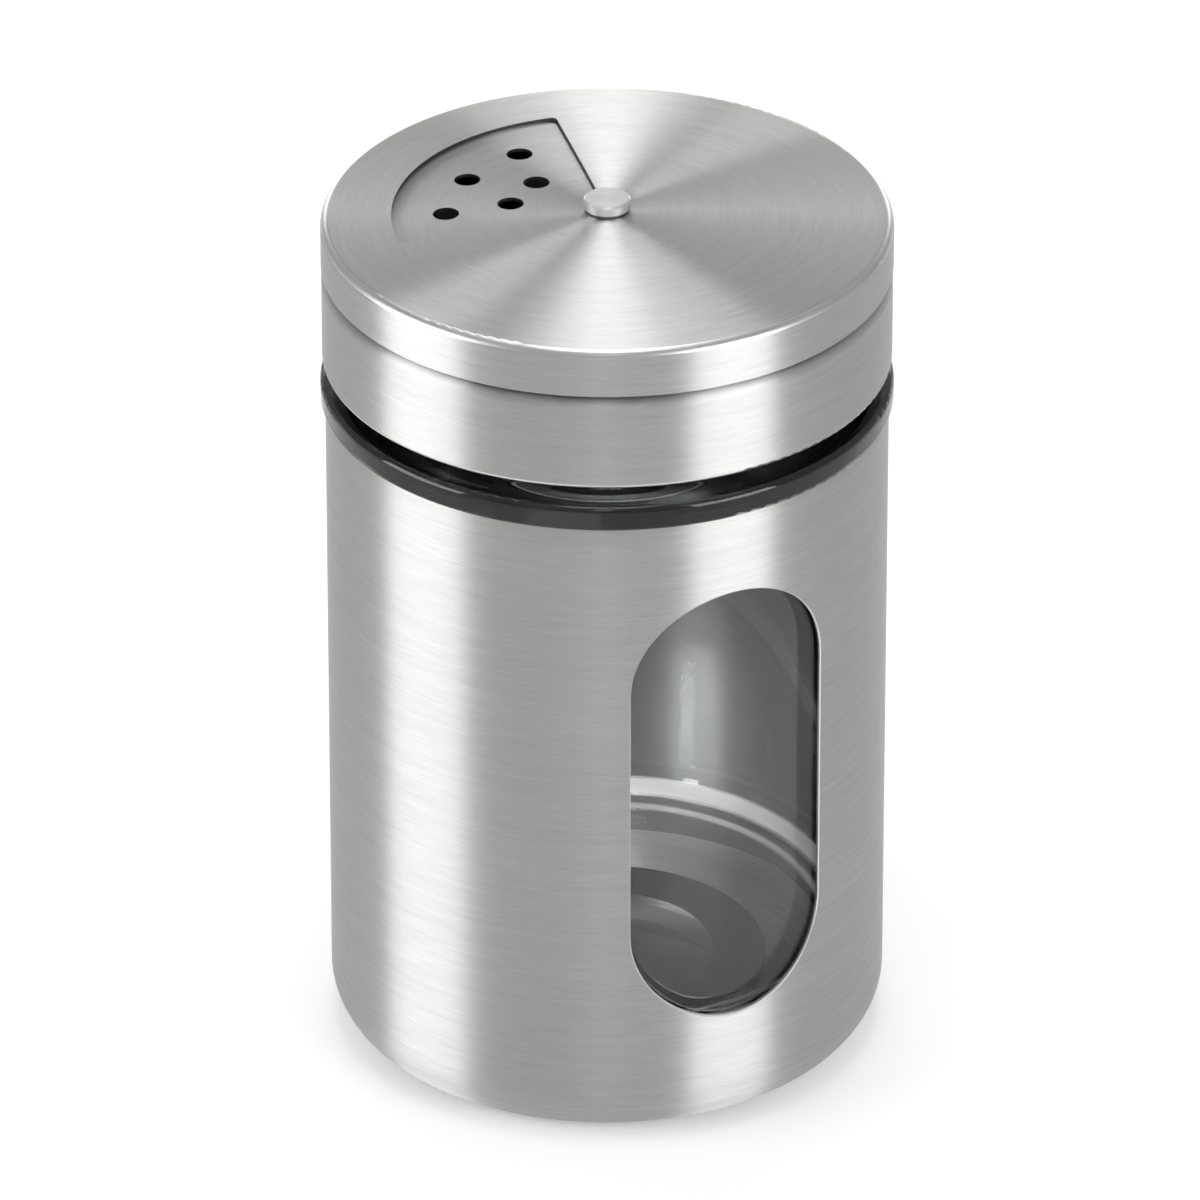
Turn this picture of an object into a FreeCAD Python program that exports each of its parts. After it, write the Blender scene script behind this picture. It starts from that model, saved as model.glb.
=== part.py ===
import FreeCAD, Part, Sketcher
import os
import re
from math import hypot

doc = FreeCAD.newDocument("spice_shaker")

# Two places nearer than this, in millimetres, are one
SAME = 0.01

# Driving dimensions in millimetres and degrees
SIZES = [
    # Drawn steel sleeve
    ("body_radius", 31.15, "outside radius of the sleeve"),
    ("body_height", 78.2, "top edge of the sleeve above the table"),
    ("body_sheet", 0.5, "sheet of the sleeve"),
    ("base_corner", 6.4, "outside radius between wall and base"),
    ("foot_width", 3.8, "flat ring that the sleeve stands on"),
    ("foot_recess", 1.0, "rise of the panel inside that ring"),
    ("window_width", 23.3, "window, side to side"),
    ("window_low", 15.0, "lowest point of the window"),
    ("window_drop", 9.6, "highest point of the window below the top edge"),
    ("window_bevel", 0.15, "broken edge round the window"),
    # Soft disc between the sleeve's base and the glass
    ("cushion_thick", 0.8, "thickness of the disc"),
    ("cushion_margin", 1.0, "inset of the disc from the raised panel's edge"),
    # Glass jar
    ("glass_clear", 0.3, "gap between glass and sleeve"),
    ("glass_wall", 2.5, "side wall"),
    ("glass_floor", 9.0, "thick bottom"),
    ("glass_corner", 6.0, "outside radius between wall and bottom"),
    ("floor_round", 5.0, "inside radius between wall and floor"),
    ("punt_radius", 12.0, "dish under the jar"),
    ("punt_rise", 1.6, "depth of that dish"),
    ("flange_proud", 0.53, "how far the glass ring stands out past the sleeve"),
    ("flange_thick", 3.0, "height of that ring"),
    ("flange_under", 0.6, "rounding of its lower edge"),
    ("flange_over", 0.8, "rounding of its upper edge"),
    ("root_rise", 0.5, "slope from the ring up to the neck"),
    ("root_round", 0.6, "hollow corner at the foot of the neck"),
    ("neck_inset", 2.75, "neck, at the root of its thread, inside the jar's wall"),
    ("neck_rise", 10.4, "mouth above the top of the ring"),
    ("neck_wall", 3.0, "wall of the neck"),
    ("shoulder_turn", 60.0, "how far each of the two arcs inside the shoulder turns"),
    ("mouth_round", 0.9, "rounding of the mouth's edges"),
    # Soft ring that closes the mouth
    ("seal_thick", 1.0, "thickness of the ring"),
    ("seal_inset", 0.4, "gap from the ring to the bore of the lid"),
    ("seal_overlap", 0.4, "how far the ring covers the mouth inwards"),
    # Steel shell of the lid
    ("lid_gap", 2.2, "lid's lower edge above the glass ring"),
    ("band_rise", 10.9, "height of the lower band"),
    ("band_shoulder", 1.2, "rounding at the top of that band"),
    ("lid_sheet", 0.4, "sheet of the shell and of the cap"),
    ("hem_width", 1.4, "lower edge turned inwards"),
    ("hem_round", 0.55, "outside radius of that turned edge"),
    ("ledge_flat", 0.2, "level part of the ledge above the band"),
    ("ledge_round", 0.3, "hollow corner where the ledge meets the drum"),
    ("deck_corner", 0.6, "rounding of the perforated deck's edge"),
    ("crown_rise", 0.8, "height of the shallow dome of deck and cap"),
    ("crown_flat", 4.0, "radius of the flat at the middle of the dome"),
    # Holes in the deck, by angle and distance from the middle
    ("shake_angle", 123.8, "middle of the sprinkling zone"),
    ("hole_size", 2.9, "diameter of a sprinkling hole"),
    ("outer_reach", 17.7, "distance of the three outer holes"),
    ("outer_step", 27.4, "angle between two outer holes"),
    ("inner_reach", 10.95, "distance of the two inner holes"),
    ("inner_step", 30.4, "angle between the two inner holes"),
    ("pour_turn", 180.0, "pouring slot, measured on from the sprinkling zone"),
    ("pour_reach", 14.6, "distance of the slot's middle line"),
    ("pour_width", 9.0, "width of the slot"),
    ("pour_sweep", 44.0, "angle between the slot's end centres"),
    # Threaded liner of the lid
    ("liner_fit", 0.05, "gap between the liner and its shell"),
    ("liner_wall", 2.0, "wall of the liner round the thread"),
    ("drum_wall", 1.4, "wall of the liner inside the drum"),
    ("thread_room", 1.4, "bore of the liner outside the neck's root"),
    ("liner_chamfer", 0.5, "broken edges of the liner"),
    ("seat_thick", 1.6, "flange that presses on the soft ring"),
    ("seat_cover", 2.1, "how far that flange reaches in past the neck's bore"),
    # Turning cap
    ("cap_proud", 0.05, "how far the cap stands out past the lower band"),
    ("cap_skirt", 5.57, "height of the cap's side"),
    ("cap_lift", 0.43, "gap between that side and the ledge"),
    ("cap_corner", 1.0, "rounding of the cap's upper edge"),
    ("skirt_bevel", 0.15, "bevel of the cap's lower edge"),
    ("sector_radius", 23.7, "outer arc of the opening in the cap"),
    ("sector_root", 2.5, "inner arc, hidden below the rivet's head"),
    ("sector_angle", 93.3, "opening, side to side"),
    ("sector_round", 0.6, "rounding of the opening's outer corners"),
    # Rivet and the washers on it
    ("shank_radius", 1.25, "shank of the rivet"),
    ("shank_fit", 0.05, "gap between the shank and what it passes through"),
    ("head_radius", 2.6, "head of the rivet"),
    ("head_rise", 1.05, "height of the head"),
    ("head_bevel", 0.2, "bevel round the head"),
    ("head_disc_radius", 2.45, "washer under the head"),
    ("head_disc_thick", 0.45, "its thickness"),
    ("slip_radius", 2.45, "thin disc between cap and deck"),
    ("slip_thick", 0.15, "its thickness"),
    ("spring_radius", 3.5, "coned spring washer under the deck"),
    ("spring_thick", 0.3, "its sheet"),
    ("spring_cone", 0.35, "height of its cone"),
    ("back_radius", 3.5, "flat washer under the spring washer"),
    ("back_thick", 0.6, "its thickness"),
    ("tail_radius", 2.1, "formed end of the rivet"),
    ("tail_rise", 0.8, "its height"),
    ("tail_round", 0.5, "its rounding"),
]

sheet = doc.addObject("Spreadsheet::Sheet", "sizes")
for row, (alias, size, meaning) in enumerate(SIZES, start=1):
    sheet.set(f"A{row}", meaning)
    sheet.set(f"B{row}", str(size))
    sheet.setAlias(f"B{row}", alias)
doc.recompute()

# Levels and radii that follow from the sizes, written as formulas of them
PANEL_RADIUS = "(body_radius - base_corner - foot_width - 2 * foot_recess)"
JAR_BASE = "(foot_recess + body_sheet + cushion_thick)"
JAR_FLOOR = f"({JAR_BASE} + glass_floor)"
GLASS_RADIUS = "(body_radius - body_sheet - glass_clear)"
JAR_BORE = f"({GLASS_RADIUS} - glass_wall)"
NECK_RADIUS = f"({GLASS_RADIUS} - neck_inset)"
NECK_BORE = f"({NECK_RADIUS} - neck_wall)"
FLANGE_RADIUS = "(body_radius + flange_proud)"
FLANGE_TOP = "(body_height + flange_thick)"
MOUTH = f"({FLANGE_TOP} + neck_rise)"
SEAT = f"({MOUTH} + seal_thick)"
LID_BASE = f"({FLANGE_TOP} + lid_gap)"
LEDGE = f"({LID_BASE} + band_rise)"
SKIRT_BASE = f"({LEDGE} + cap_lift)"
CAP_EDGE = f"({SKIRT_BASE} + cap_skirt)"
CAP_TOP = f"({CAP_EDGE} + crown_rise)"
LINER_BORE = f"({NECK_RADIUS} + thread_room)"
BAND_RADIUS = f"({LINER_BORE} + liner_wall + liner_fit + lid_sheet)"
DECK_RADIUS = f"({BAND_RADIUS} - band_shoulder - ledge_flat - ledge_round)"
CAP_RADIUS = f"({BAND_RADIUS} + cap_proud)"
DECK_EDGE = f"({CAP_EDGE} - lid_sheet - slip_thick)"
DECK_TOP = f"({DECK_EDGE} + crown_rise)"
HOLE_RADIUS = "(shank_radius + shank_fit)"


def value(formula):
    """Present value of a formula of the sheet's names."""
    return float(sheet.evalExpression(formula))


def bound(formula):
    """The same formula as an expression that reads the sheet."""
    return re.sub(r"\b[a-z]+(_[a-z]+)+\b", lambda name: "sizes." + name.group(), formula)


def new_body(label):
    body = doc.addObject("PartDesign::Body", label)
    body.Label = label
    return body


def new_sketch(body, name, plane):
    sketch = body.newObject("Sketcher::SketchObject", name)
    support = next(item for item in body.Origin.OriginFeatures if item.Role == plane)
    sketch.AttachmentSupport = [(support, "")]
    sketch.MapMode = "FlatFace"
    doc.recompute()
    return sketch


def constrain(sketch, name, kind, places, formula):
    """Dimension of the sketch that follows a formula of the sheet."""
    index = sketch.addConstraint(Sketcher.Constraint(kind, *places, value(formula)))
    sketch.renameConstraint(index, name)
    sketch.setExpression(f"Constraints.{name}", bound(formula))


def place_point(sketch, name, geometry, end, across, up):
    """Fix a point of the sketch by formulas, or on an axis where one is zero."""
    for axis, kind, formula in ((-2, "DistanceX", across), (-1, "DistanceY", up)):
        if formula is None:
            continue
        if formula == "0":
            sketch.addConstraint(Sketcher.Constraint("PointOnObject", geometry, end, axis))
        else:
            constrain(sketch, f"{name}_{kind[-1].lower()}", kind, (-1, 1, geometry, end), formula)


def arc_between(start, end, radius, turns_left):
    """Arc of under half a circle between two points, and the number of its first point."""
    chord = end - start
    depth = max(radius * radius - chord.Length * chord.Length / 4, 0) ** 0.5
    side = FreeCAD.Vector(-chord.y, chord.x, 0).normalize() * depth
    centre = (start + end) * 0.5 + (side if turns_left else side * -1)
    first, last = (start, end) if turns_left else (end, start)
    east = FreeCAD.Vector(1, 0, 0)
    angles = [(point - centre).getAngle(east) * (1 if point.y >= centre.y else -1)
              for point in (first, last)]
    circle = Part.Circle(centre, FreeCAD.Vector(0, 0, 1), radius)
    return Part.ArcOfCircle(circle, angles[0], angles[1]), 1 if turns_left else 2


def draw_outline(sketch, name, corners):
    """Closed outline. A corner is (across, up) at the end of a straight run, or
    (across, up, radius, "left" or "right") at the end of an arc that turns that way."""
    points = [FreeCAD.Vector(value(corner[0]), value(corner[1]), 0) for corner in corners]
    runs = []
    for index, corner in enumerate(corners):
        start, end = points[index - 1], points[index]
        if len(corner) == 2:
            shape, first = Part.LineSegment(start, end), 1
        else:
            shape, first = arc_between(start, end, value(corner[2]), corner[3] == "left")
        runs.append((sketch.addGeometry(shape), first))
    for index, corner in enumerate(corners):
        geometry, first = runs[index]
        following, start_of_next = runs[(index + 1) % len(runs)]
        last = 3 - first
        sketch.addConstraint(
            Sketcher.Constraint("Coincident", geometry, last, following, start_of_next))
        if len(corner) == 4:
            constrain(sketch, f"{name}_{index}_radius", "Radius", (geometry,), corner[2])
        across, up = corner[0], corner[1]
        before = corners[index - 1]
        if index > 0 and len(corner) == 2 and across == before[0]:
            sketch.addConstraint(Sketcher.Constraint("Vertical", geometry))
            across = None
        elif index > 0 and len(corner) == 2 and up == before[1]:
            sketch.addConstraint(Sketcher.Constraint("Horizontal", geometry))
            up = None
        place_point(sketch, f"{name}_{index}", geometry, last, across, up)


def revolve(label, corners):
    """Body turned about the upright axis from its half section."""
    body = new_body(label)
    sketch = new_sketch(body, label + "_section", "XZ_Plane")
    draw_outline(sketch, "edge", corners)
    turned = body.newObject("PartDesign::Revolution", label + "_turned")
    turned.Profile = sketch
    turned.ReferenceAxis = (sketch, ["V_Axis"])
    turned.Angle = 360
    sketch.Visibility = False
    doc.recompute()
    return body


def cut_through(body, sketch, name, one_side=False):
    """Cut the sketch through the body, both ways or only against the sketch's face."""
    before = body.Shape.Volume
    pocket = body.newObject("PartDesign::Pocket", name)
    pocket.Profile = sketch
    pocket.Type = "ThroughAll"
    pocket.SideType = "One side" if one_side else "Symmetric"
    pocket.Reversed = one_side
    sketch.Visibility = False
    doc.recompute()
    if body.Shape.Volume >= before:
        raise RuntimeError(name + " cuts nothing")
    return pocket


def round_edges(body, name, radius, wanted, bevel=False):
    """Round or bevel the edges of the body's shape that the test accepts."""
    tip = body.Tip
    edges = [f"Edge{number}" for number, edge in enumerate(tip.Shape.Edges, start=1)
             if wanted(edge)]
    if not edges:
        raise RuntimeError(name + " finds no edge")
    feature = body.newObject("PartDesign::Chamfer" if bevel else "PartDesign::Fillet", name)
    feature.Base = (tip, edges)
    feature.setExpression("Size" if bevel else "Radius", bound(radius))
    doc.recompute()
    return feature


def off_axis(point):
    return hypot(point.X, point.Y)


def is_circle(edge, radii):
    """Circle with one of these radii."""
    return isinstance(edge.Curve, Part.Circle) and any(
        abs(edge.Curve.Radius - radius) < SAME for radius in radii)


def is_upright(edge):
    first, last = edge.Vertexes[0], edge.Vertexes[-1]
    return hypot(first.X - last.X, first.Y - last.Y) < SAME < abs(first.Z - last.Z)


def polar_x(reach, angle):
    return f"{reach} * cos({angle})"


def polar_y(reach, angle):
    return f"{reach} * sin({angle})"


def crown_radius(edge):
    """Radius of a dome centred on the axis, from the middle flat out to this radius."""
    depth = f"(({edge} * {edge} - crown_flat * crown_flat) / crown_rise + crown_rise) / 2"
    return f"sqrt(({depth}) * ({depth}) + crown_flat * crown_flat)"


def ring(label, inner, outer, low, high):
    """Flat ring or washer."""
    return revolve(label, [(inner, low), (outer, low), (outer, high), (inner, high)])


# Steel sleeve: a drawn cup with a raised base panel and one round-ended window
def make_sleeve():
    foot_inner = "(body_radius - base_corner - foot_width)"
    foot_outer = "(body_radius - base_corner)"
    body = revolve("body_sleeve", [
        ("0", "foot_recess"),
        (PANEL_RADIUS, "foot_recess"),
        (foot_inner, "0"),
        (foot_outer, "0"),
        ("body_radius", "base_corner", "base_corner", "left"),
        ("body_radius", "body_height"),
        ("body_radius - body_sheet", "body_height"),
        ("body_radius - body_sheet", "base_corner"),
        (foot_outer, "body_sheet", "base_corner - body_sheet", "right"),
        (foot_inner, "body_sheet"),
        (PANEL_RADIUS, "foot_recess + body_sheet"),
        ("0", "foot_recess + body_sheet"),
    ])
    round_edges(body, "base_joggle", "foot_recess / 2", lambda edge: is_circle(
        edge, (value(PANEL_RADIUS), value(foot_inner))))
    sketch = new_sketch(body, "window_outline", "XZ_Plane")
    half, high = "window_width / 2", "body_height - window_drop"
    draw_outline(sketch, "window", [
        (f"-{half}", f"window_low + {half}"),
        ("0", "window_low", half, "left"),
        (half, f"window_low + {half}", half, "left"),
        (half, f"{high} - {half}"),
        ("0", high, half, "left"),
        (f"-{half}", f"{high} - {half}", half, "left"),
    ])
    cut_through(body, sketch, "window", one_side=True)
    outside = value("body_radius")
    round_edges(body, "window_edge", "window_bevel", lambda edge: all(
        abs(off_axis(vertex) - outside) < SAME and vertex.Y < 0
        and abs(vertex.X) < value(half) + SAME and vertex.Z > value("base_corner") + SAME
        for vertex in edge.Vertexes), bevel=True)
    return body


# Soft disc that keeps the glass off the steel
def make_cushion():
    low = "(foot_recess + body_sheet)"
    edge = f"({PANEL_RADIUS} - cushion_margin)"
    return revolve("jar_cushion", [
        ("0", low), (edge, low), (edge, JAR_BASE), ("0", JAR_BASE)])


# Glass jar: thick bottom, ring that rests on the sleeve, neck and mouth
def make_jar():
    rise, reach = "punt_rise", "punt_radius"
    step = f"({JAR_BORE} - {NECK_BORE})"
    drop = f"({step} * sin(shoulder_turn))"
    root_low = f"({FLANGE_TOP} + root_rise)"
    return revolve("glass_jar", [
        ("0", f"{JAR_BASE} + {rise}"),
        (reach, JAR_BASE, f"({reach} * {reach} + {rise} * {rise}) / (2 * {rise})", "right"),
        (f"{GLASS_RADIUS} - glass_corner", JAR_BASE),
        (GLASS_RADIUS, f"{JAR_BASE} + glass_corner", "glass_corner", "left"),
        (GLASS_RADIUS, "body_height"),
        (f"{FLANGE_RADIUS} - flange_under", "body_height"),
        (FLANGE_RADIUS, "body_height + flange_under", "flange_under", "left"),
        (FLANGE_RADIUS, f"{FLANGE_TOP} - flange_over"),
        (f"{FLANGE_RADIUS} - flange_over", FLANGE_TOP, "flange_over", "left"),
        (f"{NECK_RADIUS} + root_round", root_low),
        (NECK_RADIUS, f"{root_low} + root_round", "root_round", "right"),
        (NECK_RADIUS, f"{MOUTH} - mouth_round"),
        (f"{NECK_RADIUS} - mouth_round", MOUTH, "mouth_round", "left"),
        (f"{NECK_BORE} + mouth_round", MOUTH),
        (NECK_BORE, f"{MOUTH} - mouth_round", "mouth_round", "left"),
        (NECK_BORE, "body_height"),
        (f"{NECK_BORE} + {step} * (1 - cos(shoulder_turn))", f"body_height - {drop}",
         step, "left"),
        (JAR_BORE, f"body_height - 2 * {drop}", step, "right"),
        (JAR_BORE, f"{JAR_FLOOR} + floor_round"),
        (f"{JAR_BORE} - floor_round", JAR_FLOOR, "floor_round", "right"),
        ("0", JAR_FLOOR),
    ])


# Soft ring on the mouth of the jar
def make_seal():
    return ring("mouth_seal", f"{NECK_BORE} - seal_overlap",
                f"{LINER_BORE} - seal_inset", MOUTH, SEAT)


# Steel shell of the lid: turned-in hem, lower band, ledge, drum and domed deck
def make_shell():
    edge = f"({DECK_RADIUS} - deck_corner)"
    hem_edge = f"{BAND_RADIUS} - hem_width"
    body = revolve("lid_shell", [
        (hem_edge, LID_BASE),
        (f"{BAND_RADIUS} - hem_round", LID_BASE),
        (BAND_RADIUS, f"{LID_BASE} + hem_round", "hem_round", "left"),
        (BAND_RADIUS, f"{LEDGE} - band_shoulder"),
        (f"{BAND_RADIUS} - band_shoulder", LEDGE, "band_shoulder", "left"),
        (f"{DECK_RADIUS} + ledge_round", LEDGE),
        (DECK_RADIUS, f"{LEDGE} + ledge_round", "ledge_round", "right"),
        (DECK_RADIUS, f"{DECK_EDGE} - deck_corner"),
        (edge, DECK_EDGE, "deck_corner", "left"),
        ("crown_flat", DECK_TOP, crown_radius(edge), "left"),
        (HOLE_RADIUS, DECK_TOP),
        (HOLE_RADIUS, f"{DECK_TOP} - lid_sheet"),
        ("crown_flat", f"{DECK_TOP} - lid_sheet"),
        (edge, f"{DECK_EDGE} - lid_sheet", crown_radius(edge), "right"),
        (f"{DECK_RADIUS} - lid_sheet", f"{DECK_EDGE} - deck_corner"),
        (f"{DECK_RADIUS} - lid_sheet", f"{LEDGE} + ledge_round"),
        (f"{DECK_RADIUS} + ledge_round", f"{LEDGE} - lid_sheet",
         "ledge_round + lid_sheet", "left"),
        (f"{BAND_RADIUS} - band_shoulder", f"{LEDGE} - lid_sheet"),
        (f"{BAND_RADIUS} - lid_sheet", f"{LEDGE} - band_shoulder",
         "band_shoulder - lid_sheet", "right"),
        (f"{BAND_RADIUS} - lid_sheet", f"{LID_BASE} + hem_round"),
        (f"{BAND_RADIUS} - hem_round", f"{LID_BASE} + lid_sheet"),
        (hem_edge, f"{LID_BASE} + lid_sheet"),
    ])
    cut_through(body, shake_holes(body), "sprinkling_holes")
    cut_through(body, pour_slot(body), "pouring_slot")
    return body


def shake_holes(body):
    """Five round holes: three on an outer arc and two on an inner one."""
    sketch = new_sketch(body, "hole_circles", "XY_Plane")
    places = [("outer_reach", f"shake_angle + {step} * outer_step") for step in (-1, 0, 1)]
    places += [("inner_reach", f"shake_angle + {step} * inner_step") for step in (-0.5, 0.5)]
    for number, (reach, angle) in enumerate(places):
        across, up = polar_x(reach, angle), polar_y(reach, angle)
        centre = FreeCAD.Vector(value(across), value(up), 0)
        circle = Part.Circle(centre, FreeCAD.Vector(0, 0, 1), value("hole_size / 2"))
        geometry = sketch.addGeometry(circle)
        constrain(sketch, f"hole_{number}_size", "Diameter", (geometry,), "hole_size")
        place_point(sketch, f"hole_{number}", geometry, 3, across, up)
    return sketch


def pour_slot(body):
    """Curved slot with round ends, across the deck from the sprinkling holes."""
    sketch = new_sketch(body, "slot_outline", "XY_Plane")
    middle = "shake_angle + pour_turn"
    first, last = f"({middle} - pour_sweep / 2)", f"({middle} + pour_sweep / 2)"
    half = "pour_width / 2"
    near, far = f"(pour_reach - {half})", f"(pour_reach + {half})"
    corners = [(near, first), (far, first), (far, last), (near, last)]
    points = [(polar_x(reach, angle), polar_y(reach, angle)) for reach, angle in corners]
    draw_outline(sketch, "slot", [
        points[1] + (half, "left"),
        points[2] + (far, "left"),
        slot_tip(last, 1) + (half, "left"),
        points[3] + (half, "left"),
        points[0] + (near, "right"),
        slot_tip(first, -1) + (half, "left"),
    ])
    return sketch


def slot_tip(angle, side):
    """Furthest point of the slot's round end at this angle."""
    across = f"{polar_x('pour_reach', angle)} - {side} * pour_width / 2 * sin({angle})"
    up = f"{polar_y('pour_reach', angle)} + {side} * pour_width / 2 * cos({angle})"
    return across, up


# Plastic liner inside the shell: bore round the neck and seat for the soft ring
def make_liner():
    outside = f"({LINER_BORE} + liner_wall)"
    upper = f"({DECK_RADIUS} - lid_sheet - liner_fit)"
    low = f"({LID_BASE} + lid_sheet)"
    ledge = f"({LEDGE} - lid_sheet - liner_fit)"
    top = f"({DECK_EDGE} - lid_sheet - liner_fit)"
    return revolve("lid_liner", [
        (LINER_BORE, low),
        (f"{outside} - liner_chamfer", low),
        (outside, f"{low} + liner_chamfer"),
        (outside, f"{ledge} - band_shoulder"),
        (f"{outside} - band_shoulder", ledge),
        (upper, ledge),
        (upper, f"{top} - liner_chamfer"),
        (f"{upper} - liner_chamfer", top),
        (f"{upper} - drum_wall", top),
        (f"{upper} - drum_wall", f"{SEAT} + seat_thick"),
        (f"{NECK_BORE} - seat_cover", f"{SEAT} + seat_thick"),
        (f"{NECK_BORE} - seat_cover", SEAT),
        (LINER_BORE, SEAT),
    ])


# Turning cap: shallow domed pan with a sector cut out of its top
def make_cap():
    edge = f"({CAP_RADIUS} - cap_corner)"
    inner = f"{CAP_RADIUS} - lid_sheet"
    body = revolve("rotating_cap", [
        (inner, SKIRT_BASE),
        (f"{CAP_RADIUS} - skirt_bevel", SKIRT_BASE),
        (CAP_RADIUS, f"{SKIRT_BASE} + skirt_bevel"),
        (CAP_RADIUS, f"{CAP_EDGE} - cap_corner"),
        (edge, CAP_EDGE, "cap_corner", "left"),
        ("crown_flat", CAP_TOP, crown_radius(edge), "left"),
        (HOLE_RADIUS, CAP_TOP),
        (HOLE_RADIUS, f"{CAP_TOP} - lid_sheet"),
        ("crown_flat", f"{CAP_TOP} - lid_sheet"),
        (edge, f"{CAP_EDGE} - lid_sheet", crown_radius(edge), "right"),
        (inner, f"{CAP_EDGE} - cap_corner", "cap_corner - lid_sheet", "right"),
    ])
    sketch = new_sketch(body, "sector_outline", "XY_Plane")
    first = "(shake_angle - sector_angle / 2)"
    last = "(shake_angle + sector_angle / 2)"
    corners = [("sector_root", first), ("sector_radius", first),
               ("sector_radius", last), ("sector_root", last)]
    points = [(polar_x(reach, angle), polar_y(reach, angle)) for reach, angle in corners]
    draw_outline(sketch, "sector", [
        points[0] + ("sector_root", "right"),
        points[1],
        points[2] + ("sector_radius", "left"),
        points[3],
    ])
    cut_through(body, sketch, "sector_opening")
    reach = value("sector_radius")
    round_edges(body, "sector_corners", "sector_round", lambda edge:
                is_upright(edge) and abs(off_axis(edge.Vertexes[0]) - reach) < SAME)
    return body


# Rivet that the cap turns on, headed above and formed over below
def make_rivet():
    under_head = f"({CAP_TOP} + head_disc_thick)"
    head = f"({under_head} + head_rise)"
    tail = f"({DECK_TOP} - lid_sheet - spring_thick - spring_cone - back_thick)"
    return revolve("pivot_rivet", [
        ("0", f"{tail} - tail_rise"),
        ("tail_radius - tail_round", f"{tail} - tail_rise"),
        ("tail_radius", f"{tail} - tail_rise + tail_round", "tail_round", "left"),
        ("tail_radius", tail),
        ("shank_radius", tail),
        ("shank_radius", under_head),
        ("head_radius", under_head),
        ("head_radius", f"{head} - head_bevel"),
        ("head_radius - head_bevel", head),
        ("0", head),
    ])


# Washers on the rivet
def make_washers():
    below_deck = f"({DECK_TOP} - lid_sheet)"
    spring_base = f"({below_deck} - spring_thick - spring_cone)"
    return [
        ring("rivet_head_washer", HOLE_RADIUS, "head_disc_radius",
             CAP_TOP, f"{CAP_TOP} + head_disc_thick"),
        ring("cap_slip_disc", HOLE_RADIUS, "slip_radius", DECK_TOP, f"{DECK_TOP} + slip_thick"),
        revolve("rivet_spring_washer", [
            (HOLE_RADIUS, f"{below_deck} - spring_thick"),
            ("spring_radius", spring_base),
            ("spring_radius", f"{spring_base} + spring_thick"),
            (HOLE_RADIUS, below_deck),
        ]),
        ring("rivet_back_washer", HOLE_RADIUS, "back_radius",
             f"{spring_base} - back_thick", spring_base),
    ]


parts = [make_sleeve(), make_cushion(), make_jar(), make_seal(), make_shell(),
         make_liner(), make_cap(), make_rivet()] + make_washers()
doc.recompute()

for item in doc.Objects:
    if "Invalid" in item.State or "Error" in item.State:
        raise RuntimeError(item.Label + " has failed")
for body in parts:
    if body.Shape.isNull() or not body.Shape.isValid() or len(body.Shape.Solids) != 1:
        raise RuntimeError(body.Label + " is not one sound solid")

os.makedirs("parts", exist_ok=True)
for body in parts:
    body.Shape.exportStep(f"parts/{body.Label}.step")
    print(body.Label, round(body.Shape.Volume, 1))
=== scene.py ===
import math
import bmesh
import bpy
from mathutils import Matrix, Vector


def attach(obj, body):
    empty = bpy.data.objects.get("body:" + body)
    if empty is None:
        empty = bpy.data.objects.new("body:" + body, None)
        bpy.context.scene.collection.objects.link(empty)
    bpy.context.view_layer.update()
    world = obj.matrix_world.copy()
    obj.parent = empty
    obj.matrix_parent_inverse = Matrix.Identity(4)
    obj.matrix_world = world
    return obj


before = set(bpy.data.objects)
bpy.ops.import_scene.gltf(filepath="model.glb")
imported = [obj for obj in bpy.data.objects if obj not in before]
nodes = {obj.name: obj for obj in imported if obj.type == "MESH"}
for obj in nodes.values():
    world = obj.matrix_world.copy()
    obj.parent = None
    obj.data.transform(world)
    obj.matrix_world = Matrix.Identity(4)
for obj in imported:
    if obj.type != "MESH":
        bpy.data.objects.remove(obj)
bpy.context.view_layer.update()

scene = bpy.context.scene
MM = 0.001

# The camera stands to the left of the window and looks down on the lid
VIEW_TURN = math.radians(-26.8)
VIEW_RISE = math.radians(29.398)
VIEW_DISTANCE = 1.46645
VIEW_ASIDE = -0.00079
VIEW_LEVEL = 0.05198
LENS = 394.68
SENSOR_WIDTH = 36.0
CLIP_END = 20.0

# Floor (radius in metres, level in mm) just below the shaker; world white to the camera only
FLOOR_RADIUS = 3.0
FLOOR_SIDES = 96
FLOOR_LEVEL = -0.05
FLOOR_GLOW = 0.24
SURROUND = 0.46

# Lamps: azimuth, elevation (degrees), distance, width, height (metres) and radiance
SOFTBOXES = {
    "softbox_left": (-75, 7, 1.0, 0.66, 0.9, 4.4),
    "softbox_right": (49, 7, 1.0, 0.60, 0.9, 4.6),
    "softbox_front": (-2, 45, 1.2, 0.12, 0.5, 1.5),
    "softbox_top": (180, 84, 1.0, 0.36, 0.9, 3.2),
    "backdrop_glow": (180, 9, 1.3, 1.3, 0.5, 2.4),
}
LAMP_AIM = (0, 0, 0.05)

# Small lamps in the jar: place, aim, width, height (metres), spread (degrees), radiance
INSIDE_LAMPS = {
    "jar_fill": ((0, 0.002, 0.068), (0, 0.15, -1), 0.014, 0.014, 70, 5.0),
    "jar_streak": ((-0.0195, -0.0105, 0.030), (0.607, 0.795, -0.2), 0.004, 0.016, 44, 8.0),
}

# Noise patterns: scale, detail and, for the glass, roughness
HAIRLINES = (6500.0, 3.0)
BROAD_LINES = (1400.0, 3.0)
PATCHES = (60.0, 3.0)
RIPPLES = (45.0, 2.0, 0.4)
GRAIN = (2500.0, 3.0)
CLOUDS = (90.0, 3.0)
FLOOR_TONE = (3.0, 2.0)

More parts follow.
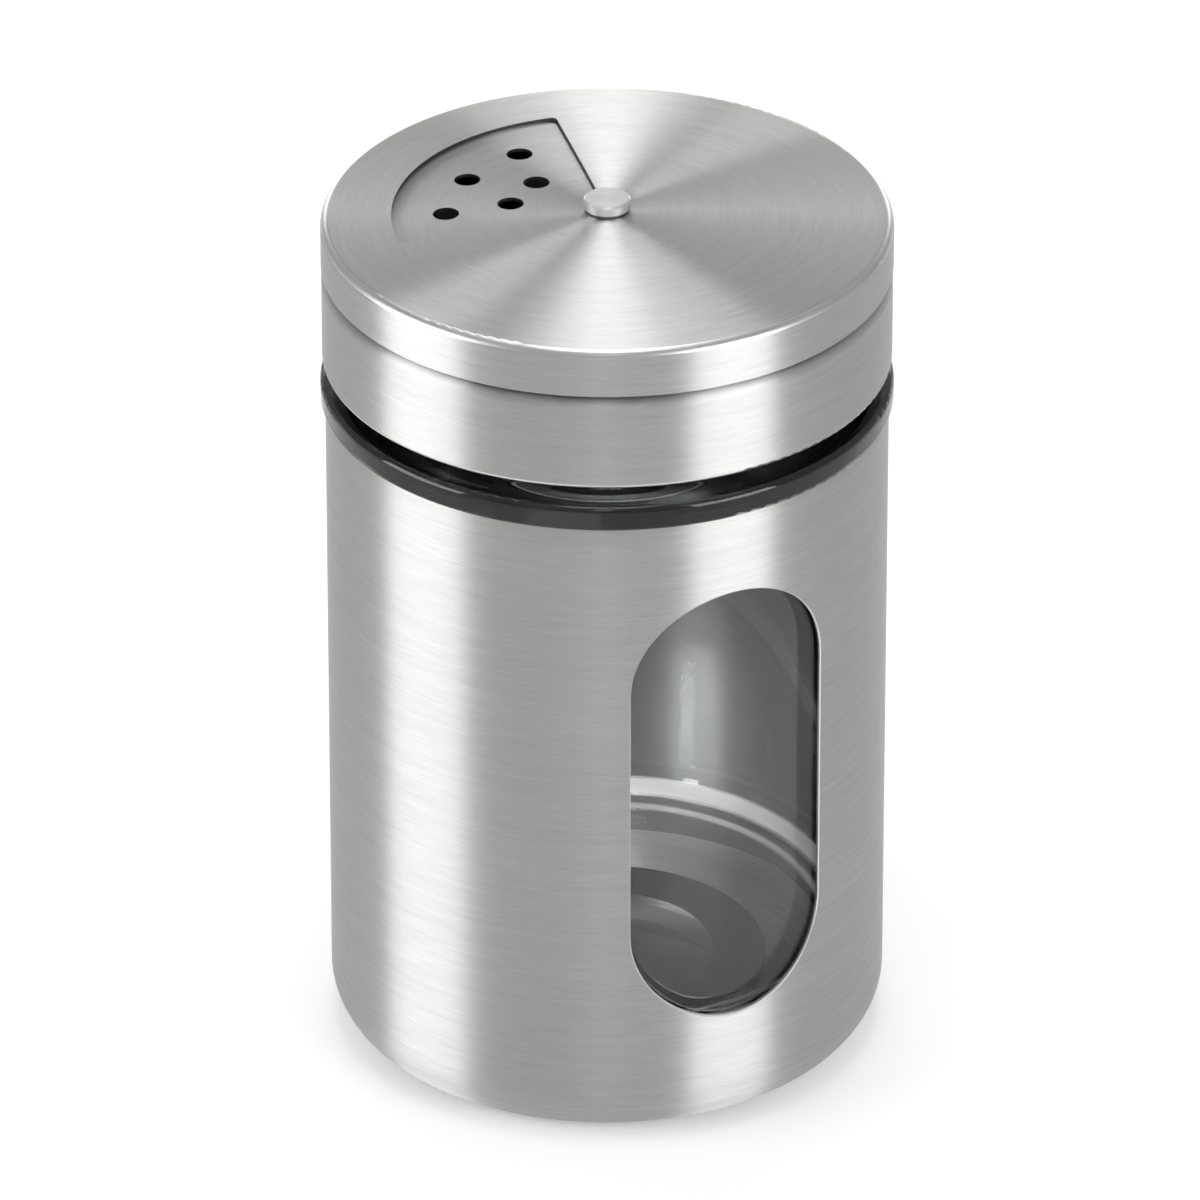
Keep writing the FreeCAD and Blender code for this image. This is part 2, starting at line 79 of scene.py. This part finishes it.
# Brushed steel: how far the lines are drawn out in mm, their shares and their strength
LINE_STRETCH = 1.2
HAIRLINE_SHARE = 0.6
LINE_DARKENING = 0.15
LINE_LIGHTENING = 0.10
LINE_ROUGHENING = 0.22
PATCH_ROUGHENING = 0.05
LINE_DEPTH = 0.004

# Painted highlight on the corner round the jar's floor, in place of the bright arcs that light
# makes there: heights and reach in mm of the band and of the thin line below it
PAINTED_ARC_REACH = (22.0, 27.9)
PAINTED_ARC_REACH_SOFT = 0.05
PAINTED_ARC_BAND, PAINTED_ARC_BAND_SOFT, PAINTED_ARC_BAND_SHARE = (12.5, 14.0), 0.3, 0.85
PAINTED_ARC_LINE, PAINTED_ARC_LINE_SOFT, PAINTED_ARC_LINE_SHARE = (11.55, 11.85), 0.1, 0.5
PAINTED_ARC_ROUGHNESS = 0.4

# Places in mm of the faces that carry a second material: painted shade on the glass ring and the
# cut edges, painted highlight on the window's edges and the hem, another finish on the cap's
# corner
RING_LEVELS = (78.2, 82.5)
RING_REACH = 27.7
WINDOW_LEVELS = (10, 75)
CAP_CORNER_REACH = 29
HEM_REACH = 30.8
HEM_LEVEL = 84.1
CUTS_REACH = 25

# Limits of a face's normal: facing the axis, upright wall, rounded corner and rolled hem
INWARD = -0.5
UPRIGHT = 0.5
WALL_OUTWARD = 0.95
CORNER_UP = (0.25, 0.97)
HEM_UP = (-0.9, -0.1)

# Beads of the screw threads, in mm; the outline gives shares of height and width
NECK_WALL = 27.6
NECK_BEAD_HEIGHT = 0.55
NECK_BEAD_LEVEL = 83.9
LINER_BORE = 29.0
LINER_BEAD_HEIGHT = -0.70
LINER_BEAD_LEVEL = 85.4
THREAD_RISE = 4.8
THREAD_TURNS = 1.6
BEAD_STEPS = 180
BEAD_WIDTH = 1.8
BEAD_END_WIDTH = 0.3
BEAD_RUN_OUT = 0.07
BEAD_OUTLINE = ((-0.05, -0.5), (0.8, -0.22), (1.0, 0.0), (0.8, 0.22), (-0.05, 0.5))


def turned(point):
    """A point given as seen by the camera, turned into the frame."""
    return Matrix.Rotation(VIEW_TURN, 3, "Z") @ Vector(point)


def make_camera():
    camera = bpy.data.objects.new("camera", bpy.data.cameras.new("camera"))
    camera.data.lens = LENS
    camera.data.sensor_width = SENSOR_WIDTH
    camera.data.clip_end = CLIP_END
    away = Vector((0, -math.cos(VIEW_RISE), math.sin(VIEW_RISE))) * VIEW_DISTANCE
    target = turned((VIEW_ASIDE, 0, VIEW_LEVEL))
    camera.location = target + turned(away)
    camera.rotation_euler = (target - camera.location).to_track_quat("-Z", "Y").to_euler()
    scene.collection.objects.link(camera)
    scene.camera = camera


class Material:
    """A material made of nodes, with helpers for procedural patterns."""

    def __init__(self, name):
        self.material = bpy.data.materials.new(name)
        self.material.use_nodes = True
        self.tree = self.material.node_tree
        self.shader = self.tree.nodes["Principled BSDF"]

    def set(self, **settings):
        """Shader sockets by name, with _ for a space."""
        for key, setting in settings.items():
            self.shader.inputs[key.replace("_", " ")].default_value = setting

    def node(self, kind, **settings):
        made = self.tree.nodes.new(kind)
        for key, setting in settings.items():
            setattr(made, key, setting)
        return made

    def link(self, output, target):
        self.tree.links.new(output, target)

    def fill(self, sockets, items):
        """Numbers are set on the sockets and outputs are linked to them."""
        for socket, item in zip(sockets, items):
            if isinstance(item, (int, float)):
                socket.default_value = item
            else:
                self.link(item, socket)

    def math(self, operation, *items):
        made = self.node("ShaderNodeMath", operation=operation)
        self.fill(made.inputs, items)
        return made.outputs[0]

    def join(self, x, y, z):
        made = self.node("ShaderNodeCombineXYZ")
        self.fill(made.inputs, (x, y, z))
        return made.outputs[0]

    def ramp(self, factor, start, start_color, end, end_color):
        made = self.node("ShaderNodeValToRGB")
        self.link(factor, made.inputs["Fac"])
        stops = ((start, start_color), (end, end_color))
        for element, (position, color) in zip(made.color_ramp.elements, stops):
            element.position = position
            element.color = (*color, 1)
        return made.outputs["Color"]

    def noise(self, vector, scale, detail, roughness=0.6):
        made = self.node("ShaderNodeTexNoise")
        made.inputs["Scale"].default_value = scale
        made.inputs["Detail"].default_value = detail
        made.inputs["Roughness"].default_value = roughness
        self.link(vector, made.inputs["Vector"])
        return made.outputs["Fac"]

    def within(self, item, limits, soft):
        """1 where the item lies between the limits in mm, fading out over soft."""
        low, high = limits
        rise = self.node("ShaderNodeMapRange", interpolation_type="SMOOTHSTEP")
        fall = self.node("ShaderNodeMapRange", interpolation_type="SMOOTHSTEP")
        for made, start, end in ((rise, low - soft, low + soft), (fall, high + soft, high - soft)):
            self.link(item, made.inputs["Value"])
            made.inputs["From Min"].default_value = start * MM
            made.inputs["From Max"].default_value = end * MM
        return self.math("MULTIPLY", rise.outputs[0], fall.outputs[0])

    def bump(self, height, distance, strength):
        made = self.node("ShaderNodeBump")
        made.inputs["Distance"].default_value = distance * MM
        made.inputs["Strength"].default_value = strength
        self.link(height, made.inputs["Height"])
        self.link(made.outputs["Normal"], self.shader.inputs["Normal"])

    def coordinates(self):
        return self.node("ShaderNodeTexCoord").outputs["Object"]

    def around_axis(self, coordinates):
        """Distance from the upright axis, direction round it and height."""
        split = self.node("ShaderNodeSeparateXYZ")
        self.link(coordinates, split.inputs[0])
        x, y, z = split.outputs
        reach = self.math("SQRT", self.math("ADD", self.math("MULTIPLY", x, x),
                                            self.math("MULTIPLY", y, y)))
        safe = self.math("MAXIMUM", reach, 1e-5)
        return reach, self.math("DIVIDE", x, safe), self.math("DIVIDE", y, safe), z


def grey(level):
    """A grey of steel, with a trace less blue."""
    return level, level, level - 0.01


def brushed_steel(name, color, roughness=0.44, anisotropy=1.0, grain=1.0):
    """Steel brushed round the upright axis: hairlines on the walls, circles on level faces."""
    steel = Material(name)
    coordinates = steel.coordinates()
    reach, east, north, z = steel.around_axis(coordinates)
    # Lines run round the axis, so the pattern is stretched along the direction round it
    stretch = LINE_STRETCH * MM
    lines = steel.join(steel.math("MULTIPLY", east, stretch),
                       steel.math("MULTIPLY", north, stretch), steel.math("ADD", z, reach))
    fine = steel.noise(lines, *HAIRLINES)
    broad = steel.noise(lines, *BROAD_LINES)
    streaks = steel.math("ADD", steel.math("MULTIPLY", fine, HAIRLINE_SHARE),
                         steel.math("MULTIPLY", broad, 1 - HAIRLINE_SHARE))
    patches = steel.noise(coordinates, *PATCHES)
    low = [channel * (1 - LINE_DARKENING * grain) for channel in color]
    high = [min(1.0, channel * (1 + LINE_LIGHTENING * grain)) for channel in color]
    steel.link(steel.ramp(streaks, 0.30, low, 0.70, high), steel.shader.inputs["Base Color"])
    uneven = steel.math("MULTIPLY_ADD", steel.math("SUBTRACT", streaks, 0.5),
                        LINE_ROUGHENING * grain, roughness)
    steel.link(steel.math("MULTIPLY_ADD", steel.math("SUBTRACT", patches, 0.5),
                          PATCH_ROUGHENING, uneven), steel.shader.inputs["Roughness"])
    steel.bump(streaks, LINE_DEPTH * grain, 0.8)
    tangent = steel.node("ShaderNodeTangent", direction_type="RADIAL", axis="Z")
    steel.link(tangent.outputs[0], steel.shader.inputs["Tangent"])
    steel.set(Metallic=1.0, Anisotropic=anisotropy, Anisotropic_Rotation=0.25)
    return steel.material


def glass(name, tint, painted_highlight_arc=False):
    """Glass with faint ripples from the mould; lamps light what is behind it. The corner
    round the floor of the jar can carry a painted highlight, a whitish band and line in place of
    the bright arcs of light there."""
    made = Material(name)
    coordinates = made.coordinates()
    made.bump(made.noise(coordinates, *RIPPLES), 0.03, 0.15)
    made.set(Base_Color=(*tint, 1), Roughness=0.0, IOR=1.5, Transmission_Weight=1.0)
    # Painted highlight: in a band and a thin line round the floor's corner the glass lets less
    # light through and turns rough, so they show whitish like bright arcs of light
    if painted_highlight_arc:
        reach, _, _, z = made.around_axis(coordinates)
        band = made.math("MULTIPLY", made.within(z, PAINTED_ARC_BAND, PAINTED_ARC_BAND_SOFT),
                         made.within(reach, PAINTED_ARC_REACH, PAINTED_ARC_REACH_SOFT))
        line = made.math("MULTIPLY", made.within(z, PAINTED_ARC_LINE, PAINTED_ARC_LINE_SOFT),
                         made.within(reach, PAINTED_ARC_REACH, PAINTED_ARC_REACH_SOFT))
        painted_arc = made.math("MULTIPLY_ADD", line, PAINTED_ARC_LINE_SHARE,
                          made.math("MULTIPLY", band, PAINTED_ARC_BAND_SHARE))
        made.link(made.math("SUBTRACT", 1.0, painted_arc), made.shader.inputs["Transmission Weight"])
        made.link(made.math("MULTIPLY", painted_arc, PAINTED_ARC_ROUGHNESS), made.shader.inputs["Roughness"])
    path = made.node("ShaderNodeLightPath")
    passing = made.node("ShaderNodeBsdfTransparent")
    passing.inputs["Color"].default_value = (*tint, 1)
    mixed = made.node("ShaderNodeMixShader")
    made.fill(mixed.inputs, (path.outputs["Is Shadow Ray"], made.shader.outputs[0],
                             passing.outputs[0]))
    made.link(mixed.outputs[0], made.tree.nodes["Material Output"].inputs["Surface"])
    return made.material


def moulded(name, dark, light, roughness):
    """Moulded plastic or rubber: fine grain, slight unevenness in tone and gloss."""
    plastic = Material(name)
    coordinates = plastic.coordinates()
    grain = plastic.noise(coordinates, *GRAIN)
    clouds = plastic.noise(coordinates, *CLOUDS)
    plastic.link(plastic.ramp(clouds, 0.3, dark, 0.7, light), plastic.shader.inputs["Base Color"])
    plastic.link(plastic.math("MULTIPLY_ADD", grain, 0.12, roughness - 0.06),
                 plastic.shader.inputs["Roughness"])
    plastic.bump(grain, 0.01, 0.5)
    return plastic.material


def dress(material, *names):
    for name in names:
        slots = nodes[name].data.materials
        for index in range(len(slots)):
            slots[index] = material
        if not slots:
            slots.append(material)
        for polygon in nodes[name].data.polygons:
            polygon.use_smooth = True


def dress_faces(material, name, wanted):
    """Give another material to the faces of a node that the test accepts: a second finish, painted
    shade or a painted highlight. The test takes a face's height and its distance off the axis in
    mm, and its normal's outward and upward parts."""
    mesh = nodes[name].data
    mesh.materials.append(material)
    extra = len(mesh.materials) - 1
    for polygon in mesh.polygons:
        x, y, height = polygon.center / MM
        reach = math.hypot(x, y)
        outward = (polygon.normal.x * x + polygon.normal.y * y) / max(reach, 0.001)
        if wanted(height, reach, outward, polygon.normal.z):
            polygon.material_index = extra


def between(item, limits):
    return limits[0] < item < limits[1]


def make_finishes():
    """Dress all nodes; returns the jar's glass and the liner's plastic for the threads."""
    dress(brushed_steel("sleeve_steel", grey(0.60)), "body_sleeve")
    dress(brushed_steel("lid_steel", grey(0.60)), "lid_shell")
    dress(brushed_steel("cap_steel", grey(0.62)), "rotating_cap")
    dress(brushed_steel("rivet_steel", grey(0.74), 0.34, 0.3, 0.4), "pivot_rivet")
    # Near-black washers: painted shade, for the dark rings under the rivet head and below its
    # collar
    dress(brushed_steel("washer_steel", (0.16, 0.16, 0.155), 0.3, 0.3, 0.6),
          "rivet_head_washer", "rivet_spring_washer", "rivet_back_washer")
    # The jar's glass carries the painted highlight round the corner of its floor
    clear = glass("clear_glass", (0.86, 0.87, 0.865), painted_highlight_arc=True)
    dress(clear, "glass_jar")
    # Near-black tint on the glass ring: painted shade, standing in for the dark inside of the lid
    # and sleeve seen through clear glass
    dress_faces(glass("ring_glass_painted_shade", (0.10, 0.102, 0.102)), "glass_jar",
                lambda height, reach, outward, up:
                between(height, RING_LEVELS) and reach > RING_REACH and outward > INWARD)
    black = moulded("liner_plastic", (0.012, 0.012, 0.013), (0.02, 0.02, 0.021), 0.35)
    dress(black, "lid_liner")
    dress(moulded("seal_rubber", (0.72, 0.72, 0.70), (0.80, 0.80, 0.78), 0.5), "mouth_seal")
    dress(moulded("cushion_foam", (0.03, 0.03, 0.03), (0.05, 0.05, 0.05), 0.8), "jar_cushion")
    dress(moulded("slip_plastic", (0.6, 0.6, 0.58), (0.7, 0.7, 0.68), 0.3), "cap_slip_disc")
    # The inside of the sleeve is much darker than the outside: painted shade in the sleeve's
    # hollow
    painted_shade_inner = brushed_steel("inner_steel_painted_shade", (0.27, 0.27, 0.265), 0.44, 1.0, 0.4)
    # Lighter steel on the window's edges and the lid's hem: painted highlight along these edges
    painted_highlight_edge = brushed_steel("edge_steel_painted_highlight", grey(0.85), 0.35, 0.0, 0.2)
    corner = brushed_steel("corner_steel", grey(0.60), 0.32, 0.0, 0.5)
    # Near-black cut edges: painted shade of the gap between cap and deck, with a painted dark
    # reflection
    painted_shade_cut = brushed_steel("cut_edge_painted_shade", (0.10, 0.10, 0.10), 0.40, 0.0, 0.5)
    dress_faces(painted_shade_inner, "body_sleeve", lambda height, reach, outward, up: outward < INWARD)
    dress_faces(painted_highlight_edge, "body_sleeve", lambda height, reach, outward, up:
                between(height, WINDOW_LEVELS) and abs(outward) < WALL_OUTWARD)
    dress_faces(corner, "rotating_cap", lambda height, reach, outward, up:
                reach > CAP_CORNER_REACH and between(up, CORNER_UP))
    # Painted highlight on the rounded lower edge of the lid's hem
    dress_faces(painted_highlight_edge, "lid_shell", lambda height, reach, outward, up:
                reach > HEM_REACH and height < HEM_LEVEL and between(up, HEM_UP))
    # Painted shade on the cut edges round the sector and the holes
    for name in ("rotating_cap", "lid_shell"):
        dress_faces(painted_shade_cut, name, lambda height, reach, outward, up:
                    reach < CUTS_REACH and abs(up) < UPRIGHT)
    return clear, black


def bead_row(shape, wall, height, low, along):
    """Corners of the bead's outline at a share of its way round."""
    angle = along * THREAD_TURNS * math.tau
    swell = min(1.0, along / BEAD_RUN_OUT, (1 - along) / BEAD_RUN_OUT)
    width = BEAD_WIDTH * (BEAD_END_WIDTH + (1 - BEAD_END_WIDTH) * swell)
    row = []
    for out, up in BEAD_OUTLINE:
        reach = wall + height * (out * swell if out > 0 else out)
        level = low + THREAD_RISE * along + width * up
        row.append(shape.verts.new((reach * math.cos(angle) * MM,
                                    reach * math.sin(angle) * MM, level * MM)))
    return row


def make_thread(name, wall, height, low):
    """Right-handed helical bead with run-out ends; height is outward, or inward below 0."""
    mesh = bpy.data.meshes.new(name)
    shape = bmesh.new()
    rows = [bead_row(shape, wall, height, low, step / BEAD_STEPS)
            for step in range(BEAD_STEPS + 1)]
    count = len(BEAD_OUTLINE)
    for first, second in zip(rows, rows[1:]):
        for index in range(count):
            following = (index + 1) % count
            shape.faces.new((first[index], first[following], second[following], second[index]))
    shape.faces.new(rows[0])
    shape.faces.new(rows[-1][::-1])
    bmesh.ops.recalc_face_normals(shape, faces=shape.faces)
    for face in shape.faces:
        face.smooth = len(face.verts) == 4
    shape.to_mesh(mesh)
    shape.free()
    thread = bpy.data.objects.new(name, mesh)
    scene.collection.objects.link(thread)
    return thread


def make_threads(clear, black):
    """Screw threads of jar and lid; the lid's bead stands clear of the jar's."""
    on_jar = make_thread("neck_thread", NECK_WALL, NECK_BEAD_HEIGHT, NECK_BEAD_LEVEL)
    on_jar.data.materials.append(clear)
    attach(on_jar, "jar")
    in_lid = make_thread("liner_thread", LINER_BORE, LINER_BEAD_HEIGHT, LINER_BEAD_LEVEL)
    in_lid.data.materials.append(black)
    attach(in_lid, "lid")


def make_floor():
    bpy.ops.mesh.primitive_circle_add(vertices=FLOOR_SIDES, radius=FLOOR_RADIUS, fill_type="NGON",
                                      location=(0, 0, FLOOR_LEVEL * MM))
    floor = bpy.context.object
    floor.name = "floor"
    white = Material("floor_white")
    tone = white.noise(white.coordinates(), *FLOOR_TONE)
    white.link(white.ramp(tone, 0.0, (0.86, 0.86, 0.86), 1.0, (0.88, 0.88, 0.88)),
               white.shader.inputs["Base Color"])
    white.set(Roughness=1.0, Specular_IOR_Level=0.0, Emission_Color=(1, 1, 1, 1))
    path = white.node("ShaderNodeLightPath")
    white.link(white.math("MULTIPLY", path.outputs["Is Camera Ray"], FLOOR_GLOW),
               white.shader.inputs["Emission Strength"])
    floor.data.materials.append(white.material)


def make_world():
    world = bpy.data.worlds.new("studio")
    world.use_nodes = True
    tree = world.node_tree
    background = tree.nodes["Background"]
    path = tree.nodes.new("ShaderNodeLightPath")
    level = tree.nodes.new("ShaderNodeMapRange")
    tree.links.new(path.outputs["Is Camera Ray"], level.inputs["Value"])
    level.inputs["To Min"].default_value = SURROUND
    level.inputs["To Max"].default_value = 1.0
    tree.links.new(level.outputs[0], background.inputs["Strength"])
    background.inputs["Color"].default_value = (1, 1, 1, 1)
    scene.world = world
    scene.view_settings.view_transform = "Standard"


def area_lamp(name, width, height, radiance, place, aim):
    lamp = bpy.data.objects.new(name, bpy.data.lights.new(name, "AREA"))
    lamp.data.shape = "RECTANGLE"
    lamp.data.size = width
    lamp.data.size_y = height
    lamp.data.energy = radiance * math.pi * width * height
    lamp.location = place
    lamp.rotation_euler = aim.to_track_quat("-Z", "Y").to_euler()
    scene.collection.objects.link(lamp)
    return lamp


def softbox(name, azimuth, elevation, distance, width, height, radiance):
    """Studio lamp; azimuth is to the right of the camera, seen from the object."""
    turn, rise = math.radians(azimuth), math.radians(elevation)
    direction = turned((math.sin(turn) * math.cos(rise), -math.cos(turn) * math.cos(rise),
                        math.sin(rise)))
    area_lamp(name, width, height, radiance, Vector(LAMP_AIM) + direction * distance, -direction)


def inside_lamp(name, place, aim, width, height, spread, radiance):
    """Small lamp in the jar, out of sight, that lights only what the window shows."""
    lamp = area_lamp(name, width, height, radiance, turned(place), turned(aim))
    lamp.data.spread = math.radians(spread)
    lamp.visible_camera = False
    lamp.visible_transmission = False


make_camera()
make_threads(*make_finishes())
make_floor()
make_world()
for lamp_name, lamp_values in SOFTBOXES.items():
    softbox(lamp_name, *lamp_values)
for lamp_name, lamp_values in INSIDE_LAMPS.items():
    inside_lamp(lamp_name, *lamp_values)
